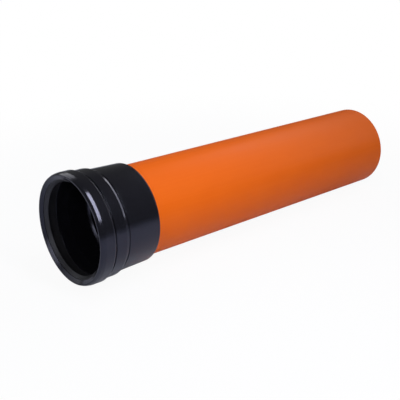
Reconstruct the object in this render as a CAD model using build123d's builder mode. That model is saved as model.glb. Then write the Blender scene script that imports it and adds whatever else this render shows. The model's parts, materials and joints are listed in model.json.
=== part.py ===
from build123d import *
from math import asin, atan2, cos, hypot, sin
import os

# A length of smooth cable conduit with a moulded socket on one end and a lip seal in the socket's mouth.
# It lies on a level floor, carried by the socket's bead and by the lower edge of the conduit's cut end.
# Millimetres, +Z up, X along the conduit, the mouth towards -X, origin on the floor under mid-length.

# Conduit pipe
pipe_od = 110.0
pipe_wall = 3.2
pipe_exposed = 416.0        # length that shows behind the socket
edge_break = 0.8            # chamfer on both edges of the cut end
seat_cut = 0.6              # skimmed off the outside of the end that sits in the socket

# Socket, lengths along the inside from the mouth
lip_length = 3.1
lip_land = 0.5              # flat on the lip's inner edge
seal_groove_length = 16.3
lead_in_length = 15.0
bore_length = 26.0
stop_length = 5.0
seat_depth = 18.0

# Socket, steps and walls measured radially
bore_clearance = 0.4        # room around the next conduit's plain end
lip_relief = 2.0            # lip beyond the bore
mouth_flare = 4.2           # mouth's edge beyond the lip
lead_in_flare = 1.8         # mouth of the lead-in beyond the bore
seal_groove_depth = 3.0     # groove floor beyond the lip
stop_clearance = 0.1        # stop's back edge beyond the pipe's inside
stop_draft = 0.2            # the stop opens this much towards the mouth
seat_clearance = 0.1
end_gap = 0.2               # left between the pipe's end and the stop
nose_wall = 1.0
bead_wall = 4.6
ring_wall = 7.6
sleeve_wall = 5.2
sleeve_taper = 1.4          # the sleeve narrows this much towards its back edge

# Socket, lengths along the outside
bead_cone_length = 13.0
bead_back_wall = 1.5        # bead behind the seal groove
relief_width = 2.0          # narrow groove between the bead and the ring
relief_depth = 1.2          # groove's floor below the ring
ring_length = 12.5
ring_step_length = 1.2

# Roundings and chamfers
crown_rounding = 2.5        # back edge of the bead's crown, which the floor touches
nose_chamfer = 0.4
ring_chamfer = 0.7
sleeve_end_chamfer = 1.6

# Seal ring
seal_clearance = 0.1
seal_lip_stand = 0.2        # lip's tip inside the socket's bore
seal_lip_depth = 5.8        # front of the ring to the lip's tip
seal_lip_land = 1.2
seal_lip_back_rise = 0.3    # lip's back corner beyond its tip
seal_root_setback = 1.6     # lip's root ahead of its back corner
seal_front_clearance = 0.2  # ring's front edge inside the lip
seal_heel_relief = 0.3      # heel beyond the lead-in's mouth

# Radii
pipe_r = pipe_od / 2
pipe_inner_r = pipe_r - pipe_wall
seat_r = pipe_r - seat_cut
seat_bore_r = seat_r + seat_clearance
stop_r = pipe_inner_r + stop_clearance
stop_edge_r = stop_r + stop_draft
bore_r = pipe_r + bore_clearance
lip_r = bore_r + lip_relief
lead_in_r = bore_r + lead_in_flare
seal_groove_r = lip_r + seal_groove_depth
mouth_r = lip_r + mouth_flare
nose_r = mouth_r + nose_wall
bead_r = seal_groove_r + bead_wall
ring_r = bore_r + ring_wall
relief_r = ring_r - relief_depth
sleeve_r = bore_r + sleeve_wall
sleeve_end_r = sleeve_r - sleeve_taper
seal_outer_r = seal_groove_r - seal_clearance
seal_front_r = lip_r - seal_front_clearance
seal_lip_r = bore_r - seal_lip_stand
seal_heel_r = lead_in_r + seal_heel_relief

# Stations along the axis, from the mouth
flare_back = lip_length - lip_land
groove_front = lip_length
groove_back = groove_front + seal_groove_length
bore_front = groove_back + lead_in_length
stop_front = bore_front + bore_length
stop_back = stop_front + stop_length
socket_end = stop_back + seat_depth
bead_back = groove_back + bead_back_wall
ring_front = bead_back + relief_width
ring_back = ring_front + ring_length
sleeve_front = ring_back + ring_step_length
pipe_start = stop_back + end_gap
pipe_end = socket_end + pipe_exposed
seal_front = groove_front + seal_clearance
seal_back = groove_back - seal_clearance
seal_tip = seal_front + seal_lip_depth
seal_tip_back = seal_tip + seal_lip_land
seal_root = seal_tip_back - seal_root_setback

# Rest pose: the floor touches the bead's rounded crown and the lower corner of the cut end
crown_station = bead_back - crown_rounding
crown_centre_r = bead_r - crown_rounding
contact_drop = pipe_r - crown_centre_r
contact_run = pipe_end - edge_break - crown_station
rest_tilt = asin(crown_rounding / hypot(contact_drop, contact_run)) - atan2(contact_drop, contact_run)
mouth_height = crown_rounding + crown_station * sin(rest_tilt) + crown_centre_r * cos(rest_tilt)
mouth_x = -pipe_end / 2 * cos(rest_tilt)

# Section plane through the axis: its x runs from the mouth along the conduit, its y is the radius
section = Plane(
    origin=(mouth_x, 0, mouth_height),
    x_dir=(cos(rest_tilt), 0, -sin(rest_tilt)),
    z_dir=(0, -1, 0),
)
turning_axis = Axis(section.origin, section.x_dir)


def corners(sketch, *places):
    """The sketch's vertices at the given places."""
    return [sketch.vertices().sort_by_distance(place)[0] for place in places]


os.makedirs("parts", exist_ok=True)

# Conduit pipe, with one end skimmed to sit in the socket
with BuildPart() as conduit_pipe:
    with BuildSketch(section) as profile:
        with BuildLine():
            Polyline(
                (pipe_start, pipe_inner_r),
                (pipe_start, seat_r),
                (socket_end, seat_r),
                (socket_end, pipe_r),
                (pipe_end, pipe_r),
                (pipe_end, pipe_inner_r),
                close=True,
            )
        make_face()
        chamfer(corners(profile, (pipe_end, pipe_r), (pipe_end, pipe_inner_r)), edge_break)
    revolve(axis=turning_axis)
conduit_pipe.part.label = "conduit_pipe"

# Socket: outside from the nose to the sleeve's end, then inside from the seat back to the lip
with BuildPart() as socket:
    with BuildSketch(section) as profile:
        with BuildLine():
            Polyline(
                (0, mouth_r),
                (0, nose_r),
                (bead_cone_length, bead_r),
                (bead_back, bead_r),
                (bead_back, relief_r),
                (ring_front, relief_r),
                (ring_front, ring_r),
                (ring_back, ring_r),
                (sleeve_front, sleeve_r),
                (socket_end, sleeve_end_r),
                (socket_end, seat_bore_r),
                (stop_back, seat_bore_r),
                (stop_back, stop_r),
                (stop_front, stop_edge_r),
                (stop_front, bore_r),
                (bore_front, bore_r),
                (groove_back, lead_in_r),
                (groove_back, seal_groove_r),
                (groove_front, seal_groove_r),
                (groove_front, lip_r),
                (flare_back, lip_r),
                close=True,
            )
        make_face()
        fillet(corners(profile, (bead_back, bead_r)), crown_rounding)
        chamfer(corners(profile, (0, nose_r)), nose_chamfer)
        chamfer(corners(profile, (ring_back, ring_r)), ring_chamfer)
        chamfer(corners(profile, (socket_end, sleeve_end_r)), sleeve_end_chamfer)
    revolve(axis=turning_axis)
socket.part.label = "socket"

# Seal ring: a body that fills the groove and one lip that slopes in from the front
with BuildPart() as seal_ring:
    with BuildSketch(section):
        with BuildLine():
            Polyline(
                (seal_front, seal_outer_r),
                (seal_front, seal_front_r),
                (seal_tip, seal_lip_r),
                (seal_tip_back, seal_lip_r + seal_lip_back_rise),
                (seal_root, seal_heel_r),
                (seal_back, seal_heel_r),
                (seal_back, seal_outer_r),
                close=True,
            )
        make_face()
    revolve(axis=turning_axis)
seal_ring.part.label = "seal_ring"

export_step(conduit_pipe.part, "parts/conduit_pipe.step")
export_step(socket.part, "parts/socket.step")
export_step(seal_ring.part, "parts/seal_ring.step")
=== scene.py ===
import json
from math import atan2, pi, radians, tan
import bmesh
import bpy
from mathutils import Matrix, Vector


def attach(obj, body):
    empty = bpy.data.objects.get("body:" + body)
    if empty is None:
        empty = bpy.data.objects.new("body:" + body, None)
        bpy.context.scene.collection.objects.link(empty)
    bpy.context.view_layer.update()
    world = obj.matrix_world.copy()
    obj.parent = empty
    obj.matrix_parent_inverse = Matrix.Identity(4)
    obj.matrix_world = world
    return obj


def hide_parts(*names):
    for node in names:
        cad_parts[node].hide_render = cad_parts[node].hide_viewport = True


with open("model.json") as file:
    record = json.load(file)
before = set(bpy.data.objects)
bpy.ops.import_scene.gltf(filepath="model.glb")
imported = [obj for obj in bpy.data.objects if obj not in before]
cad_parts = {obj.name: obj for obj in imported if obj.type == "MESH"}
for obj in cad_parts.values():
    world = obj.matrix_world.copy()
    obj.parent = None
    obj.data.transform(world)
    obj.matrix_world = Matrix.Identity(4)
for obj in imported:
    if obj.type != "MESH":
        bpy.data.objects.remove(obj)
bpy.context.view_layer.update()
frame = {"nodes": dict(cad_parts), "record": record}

# Millimetres, as in the part's source
MM = 0.001

# Where the conduit's axis lies: the bore's mount sits where the lead-in ends, pointing out of the mouth
bore_front = 34.4
mount = next(m for m in frame["record"]["mounts"] if m["name"] == "socket_bore")
outwards = Vector(mount["axis"]).normalized()
along = -outwards
mouth = Vector(mount["pos_m"]) + outwards * bore_front * MM
radial = Vector((0, 1, 0)).cross(along) * -1
tilt = atan2(-along.z, along.x)
pipe_end = 499.4
pipe_inner_radius = 51.8
sawn_from, sawn_to = pipe_end - 0.85, pipe_end - 0.70
skin_from, skin_to = pipe_inner_radius + 0.15, pipe_inner_radius + 0.35

# How finely the rings are rounded and turned
arc_step = radians(11)
turn_steps = 240
weld_distance = 0.002 * MM
sharp_angle = radians(28)

# Studio levels: the floor's white under the object and the world's light
floor_white = 0.94
world_light = 0.12

# Socket outline: station from the mouth, radius, rounding
socket_corners = [
    (0.0, 61.6, 0.8),
    (0.0, 63.1, 0.7),
    (2.7, 64.3, 1.5),
    (6.4, 65.0, 6.0),
    (19.6, 65.0, 2.8),
    (19.6, 61.8, 0.4),
    (21.2, 61.8, 0.4),
    (21.2, 63.0, 0.3),
    (34.2, 63.0, 4.0),
    (36.9, 62.5, 0.6),
    (37.4, 59.8, 0.3),
    (40.3, 59.8, 0.2),
    (40.4, 60.48, 0.25),
    (83.4, 59.2, 2.5),
    (83.4, 54.5, 0.2),
    (65.4, 54.5, 0.0),
    (65.4, 51.9, 0.2),
    (62.4, 52.0, 0.6),
    (60.4, 53.8, 0.6),
    (60.4, 55.4, 0.4),
    (34.4, 55.4, 6.0),
    (19.4, 57.2, 0.4),
    (19.4, 60.4, 0.0),
    (3.1, 60.4, 0.0),
    (3.1, 57.4, 0.2),
    (2.6, 57.4, 0.2),
]

# Seal outline: station from the mouth, radius, rounding
seal_corners = [
    (3.2, 60.3, 0.2),
    (3.2, 57.0, 0.5),
    (7.4, 53.9, 0.7),
    (8.7, 54.7, 0.5),
    (6.4, 57.5, 0.7),
    (19.3, 57.5, 0.5),
    (19.3, 60.3, 0.2),
]


# ---------------------------------------------------------------- shaping

def place(station, radius):
    """A point of an outline, in the frame."""
    return mouth + along * station * MM + radial * radius * MM


def pick_corner(target):
    """Selects only the outline's corner nearest to a place."""
    mesh = bmesh.from_edit_mesh(bpy.context.edit_object.data)
    nearest = min(mesh.verts, key=lambda v: (v.co - target).length)
    for vertex in mesh.verts:
        vertex.select_set(vertex == nearest)
    mesh.select_flush_mode()
    bmesh.update_edit_mesh(bpy.context.edit_object.data)


def turn_angle(before, corner, after):
    """How far an outline turns at a corner."""
    return (corner - before).angle(after - corner)


def draw_outline(name, corners):
    """A closed wire outline, extruded corner by corner from one point."""
    bpy.ops.object.select_all(action="DESELECT")
    bpy.ops.mesh.primitive_plane_add(size=MM, location=(0, 0, 0))
    piece = bpy.context.object
    piece.name = name
    piece.data.name = name
    points = [place(station, radius) for station, radius, _ in corners]
    bpy.ops.object.mode_set(mode="EDIT")
    bpy.ops.mesh.select_mode(type="VERT")
    bpy.ops.mesh.select_all(action="SELECT")
    bpy.ops.mesh.merge(type="CENTER")
    bpy.ops.transform.translate(value=points[0])
    for start, end in zip(points, points[1:]):
        bpy.ops.mesh.extrude_region_move(TRANSFORM_OT_translate={"value": end - start})
    bpy.ops.mesh.select_all(action="SELECT")
    bpy.ops.mesh.edge_face_add()
    bpy.ops.mesh.delete(type="ONLY_FACE")
    return piece, points


def round_corners(points, corners):
    """Rounds the outline's corners to their own radii."""
    count = len(points)
    for i, (_, _, rounding) in enumerate(corners):
        if rounding == 0:
            continue
        turn = turn_angle(points[i - 1], points[i], points[(i + 1) % count])
        steps = max(3, round(turn / arc_step), round(rounding * turn))
        pick_corner(points[i])
        bpy.ops.mesh.bevel(
            affect="VERTICES",
            offset_type="OFFSET",
            offset=rounding * MM * tan(turn / 2),
            segments=steps,
            profile=0.5,
        )


def turn_outline(piece):
    """Turns the outline about the conduit's axis into a closed ring."""
    bpy.ops.mesh.select_all(action="SELECT")
    bpy.ops.mesh.spin(steps=turn_steps, angle=2 * pi, center=mouth, axis=along)
    bpy.ops.mesh.select_all(action="SELECT")
    bpy.ops.mesh.remove_doubles(threshold=weld_distance)
    bpy.ops.mesh.normals_make_consistent(inside=False)
    bpy.ops.object.mode_set(mode="OBJECT")
    bpy.ops.object.shade_smooth_by_angle(angle=sharp_angle)
    bpy.ops.object.modifier_add(type="WEIGHTED_NORMAL")
    piece.modifiers[-1].keep_sharp = True
    bpy.ops.object.modifier_apply(modifier=piece.modifiers[-1].name)


def turned_ring(name, corners):
    """A ring turned from an outline with rounded corners."""
    piece, points = draw_outline(name, corners)
    round_corners(points, corners)
    turn_outline(piece)
    return piece


# ---------------------------------------------------------------- finishes

class Wire:
    """One socket of a finish's nodes. Arithmetic on wires adds Math nodes."""

    def __init__(self, finish, socket):
        self.finish = finish
        self.socket = socket

    def maths(self, operation, *values):
        return self.finish.node("ShaderNodeMath", {"operation": operation}, dict(enumerate(values)))

    def __add__(self, other):
        return self.maths("ADD", self, other)

    def __sub__(self, other):
        return self.maths("SUBTRACT", self, other)

    def __rsub__(self, other):
        return self.maths("SUBTRACT", other, self)

    def __mul__(self, other):
        return self.maths("MULTIPLY", self, other)

    def __pow__(self, other):
        return self.maths("POWER", self, other)

    __radd__ = __add__
    __rmul__ = __mul__


class Finish:
    """A material made of nodes."""

    def __init__(self, name):
        self.material = bpy.data.materials.new(name)
        self.material.use_nodes = True
        self.tree = self.material.node_tree
        self.surface = self.tree.nodes["Principled BSDF"]

    def feed(self, socket, value):
        if isinstance(value, Wire):
            self.tree.links.new(value.socket, socket)
        else:
            socket.default_value = value

    def node(self, kind, settings=None, inputs=None, output=0):
        made = self.tree.nodes.new(kind)
        for key, value in (settings or {}).items():
            setattr(made, key, value)
        for key, value in (inputs or {}).items():
            self.feed(made.inputs[key], value)
        return Wire(self, made.outputs[output])

    def set(self, **values):
        for key, value in values.items():
            self.feed(self.surface.inputs[key.replace("_", " ")], value)

    def axis_place(self):
        """Metres along the conduit's axis from the mouth, and across it."""
        place_on_piece = self.node("ShaderNodeTexCoord", output="Object")
        return self.node(
            "ShaderNodeMapping",
            {"vector_type": "TEXTURE"},
            {"Vector": place_on_piece, "Location": mouth, "Rotation": (0, tilt, 0)},
        )

    def part_of(self, vector, axis):
        return self.node("ShaderNodeSeparateXYZ", None, {"Vector": vector}, axis)

    def stretched(self, vector, factors):
        return self.node("ShaderNodeVectorMath", {"operation": "MULTIPLY"}, {0: vector, 1: factors})

    def noise(self, vector, scale, detail=3.0, roughness=0.5):
        return self.node(
            "ShaderNodeTexNoise",
            None,
            {"Vector": vector, "Scale": scale, "Detail": detail, "Roughness": roughness},
        )

    def between(self, value, low, high):
        """0 below low, 1 above high, smooth between."""
        return self.node(
            "ShaderNodeMapRange",
            {"interpolation_type": "SMOOTHSTEP"},
            {"Value": value, "From Min": low, "From Max": high},
        )

    def mix(self, share, first, second):
        """The first colour, with a share of the second."""
        return self.node("ShaderNodeMix", {"data_type": "RGBA"}, {0: share, 6: first, 7: second}, 2)

    def bump(self, height, distance, strength=1.0):
        return self.node(
            "ShaderNodeBump", None, {"Height": height, "Distance": distance, "Strength": strength}
        )


def orange_finish():
    """Extruded orange plastic: faint lengthwise draw lines, a soft mottle, a sawn end."""
    finish = Finish("orange_extrusion")
    spot = finish.axis_place()
    station = finish.part_of(spot, "X")
    across = finish.part_of(spot, "Y")
    height = finish.part_of(spot, "Z")
    reach = (across * across + height * height) ** 0.5

    draw_lines = finish.noise(finish.stretched(spot, (0.012, 1, 1)), 420, 4, 0.6)
    mottle = finish.noise(spot, 22, 3)
    grain = finish.noise(spot, 1900, 2)
    sawn = finish.between(station, sawn_from * MM, sawn_to * MM)
    saw_marks = finish.noise(finish.stretched(spot, (1, 0.05, 1)), 900, 3, 0.6)

    streaks = finish.between(draw_lines * 0.6 + mottle * 0.4, 0.35, 0.7) * 0.10
    shade = finish.mix(streaks, (0.75, 0.122, 0.004, 1), (0.9, 0.20, 0.02, 1))
    shade = finish.mix(sawn * (0.35 + 0.4 * saw_marks), shade, (0.86, 0.24, 0.05, 1))
    inside = 1 - finish.between(reach, skin_from * MM, skin_to * MM)
    shade = finish.mix(inside, shade, (0.006, 0.006, 0.007, 1))

    sheen = 0.42 + 0.10 * (draw_lines - 0.5) + 0.08 * (mottle - 0.5) + 0.3 * sawn + 0.1 * inside
    relief = (1 - sawn) * (draw_lines * 0.8 + grain * 0.15) + sawn * saw_marks * 1.6
    finish.set(
        Base_Color=shade,
        Roughness=sheen,
        Normal=finish.bump(relief, 0.04 * MM, 0.6),
        Specular_IOR_Level=0.12,
    )
    return finish.material


def moulding_finish():
    """Black moulded plastic, semi-gloss, with a faint orange-peel and a breath of dust."""
    finish = Finish("black_moulding")
    spot = finish.axis_place()
    peel = finish.noise(spot, 620, 2)
    cloud = finish.noise(spot, 45, 4)
    dust = finish.between(finish.noise(spot, 1300, 2), 0.66, 0.76) * finish.between(cloud, 0.45, 0.65)
    shade = finish.mix(dust * 0.15, (0.0050, 0.0050, 0.0070, 1), (0.03, 0.03, 0.034, 1))
    finish.set(
        Base_Color=shade,
        Roughness=0.19 + 0.08 * (cloud - 0.5) + 0.04 * (peel - 0.5) + 0.12 * dust,
        Normal=finish.bump(peel, 0.012 * MM, 0.5),
        Specular_Tint=(0.72, 0.74, 1.0, 1),
    )
    return finish.material


def rubber_finish():
    """Matte moulded rubber with a fine grain."""
    finish = Finish("seal_rubber")
    spot = finish.axis_place()
    grain = finish.noise(spot, 1500, 3)
    bloom = finish.noise(spot, 60, 3)
    bloomed = finish.between(bloom, 0.3, 0.75)
    shade = finish.mix(bloomed, (0.014, 0.014, 0.016, 1), (0.022, 0.022, 0.025, 1))
    finish.set(
        Base_Color=shade,
        Roughness=0.48 + 0.12 * (bloom - 0.5) + 0.06 * (grain - 0.5),
        Normal=finish.bump(grain, 0.03 * MM, 0.5),
        Specular_Tint=(0.85, 0.87, 1.0, 1),
    )
    return finish.material


def floor_finish():
    """Pale studio floor: near white to the camera with a soft shadow, mirrored as the lamps light it."""
    finish = Finish("white_floor")
    looked_at = finish.node("ShaderNodeLightPath", output="Is Camera Ray")
    spot = finish.node("ShaderNodeTexCoord", output="Object")
    away = finish.node("ShaderNodeVectorMath", {"operation": "LENGTH"}, {0: spot}, "Value")
    open_floor = finish.between(away, 0.25, 0.75)
    finish.set(Base_Color=(0.74, 0.76, 0.88, 1), Roughness=0.9, Specular_IOR_Level=0.0)
    white = finish.node("ShaderNodeEmission", None, {"Color": (1, 1, 1, 1), "Strength": 1.0})
    shown = finish.node(
        "ShaderNodeMixShader",
        None,
        {
            0: looked_at * (floor_white + (1 - floor_white) * open_floor),
            1: Wire(finish, finish.surface.outputs[0]),
            2: white,
        },
    )
    finish.feed(finish.tree.nodes["Material Output"].inputs["Surface"], shown)
    return finish.material


# ---------------------------------------------------------------- pieces

socket_moulding = turned_ring("socket_moulding", socket_corners)
socket_moulding.data.materials.append(moulding_finish())
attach(socket_moulding, "root")
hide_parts("socket")

lip_seal = turned_ring("lip_seal", seal_corners)
lip_seal.data.materials.append(rubber_finish())
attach(lip_seal, "root")
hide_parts("seal_ring")

frame["nodes"]["conduit_pipe"].material_slots[0].material = orange_finish()


# ---------------------------------------------------------------- studio

bpy.ops.object.select_all(action="DESELECT")
bpy.ops.mesh.primitive_plane_add(size=24, location=(0, 0, 0))
floor = bpy.context.object
floor.name = "studio_floor"
floor.data.materials.append(floor_finish())


def soft_lamp(name, start, end, width, brightness):
    """A lamp strip from start to end, turned to the socket. Power follows from its size."""
    run = Vector(end) - Vector(start)
    spot = (Vector(start) + Vector(end)) / 2
    bpy.ops.object.light_add(type="AREA", location=spot)
    lamp = bpy.context.object
    lamp.name = name
    lamp.data.shape = "RECTANGLE"
    lamp.data.size = width
    lamp.data.size_y = run.length
    lamp.data.energy = brightness * pi * width * run.length
    lamp.visible_camera = False
    back = (spot - socket_middle).normalized()
    across = run.cross(back).normalized()
    lamp.rotation_euler = Matrix((across, back.cross(across), back)).transposed().to_euler()


socket_middle = place(30, 0)
soft_lamp("strip", (-0.120, -0.085, 0.727), (-0.150, -0.596, 0.387), 0.08, 17)
soft_lamp("key", (-1.15, -0.35, 0.62), (-0.85, -0.80, 0.80), 0.5, 3.0)
soft_lamp("edge high", (1.21, 0.88, 1.20), (1.37, -0.32, 1.31), 0.20, 6)
soft_lamp("edge low", (1.37, -0.32, 1.31), (1.39, -1.18, 0.43), 0.20, 6)
soft_lamp("back", (-0.75, 1.10, 0.90), (0.35, 1.20, 0.90), 0.8, 1.4)
soft_lamp("left", (-1.52, -0.08, 0.21), (-1.34, 0.47, 0.55), 0.25, 4)
soft_lamp("left back", (-1.53, 0.86, 0.49), (-0.91, 1.49, 0.14), 0.35, 0.7)

world = bpy.data.worlds.new("studio")
bpy.context.scene.world = world
world.use_nodes = True
backdrop = world.node_tree.nodes["Background"]
backdrop.inputs["Color"].default_value = (1, 1, 1, 1)
seen = world.node_tree.nodes.new("ShaderNodeLightPath").outputs["Is Camera Ray"]
dim = world.node_tree.nodes.new("ShaderNodeMapRange")
dim.inputs["To Min"].default_value = world_light
dim.inputs["To Max"].default_value = 1.0
world.node_tree.links.new(seen, dim.inputs["Value"])
world.node_tree.links.new(dim.outputs["Result"], backdrop.inputs["Strength"])

# Camera at the photograph's place
camera_spot = Vector((-0.6253026, -0.6450994, 0.4057324))
camera_aim = Vector((-0.1008460, -0.0503862, 0.0768397))
bpy.ops.object.camera_add(location=camera_spot)
camera = bpy.context.object
camera.rotation_euler = (camera_aim - camera_spot).to_track_quat("-Z", "Y").to_euler()
camera.data.sensor_width = 36.0
camera.data.lens = 66.02
bpy.context.scene.camera = camera
bpy.context.scene.view_settings.view_transform = "Standard"
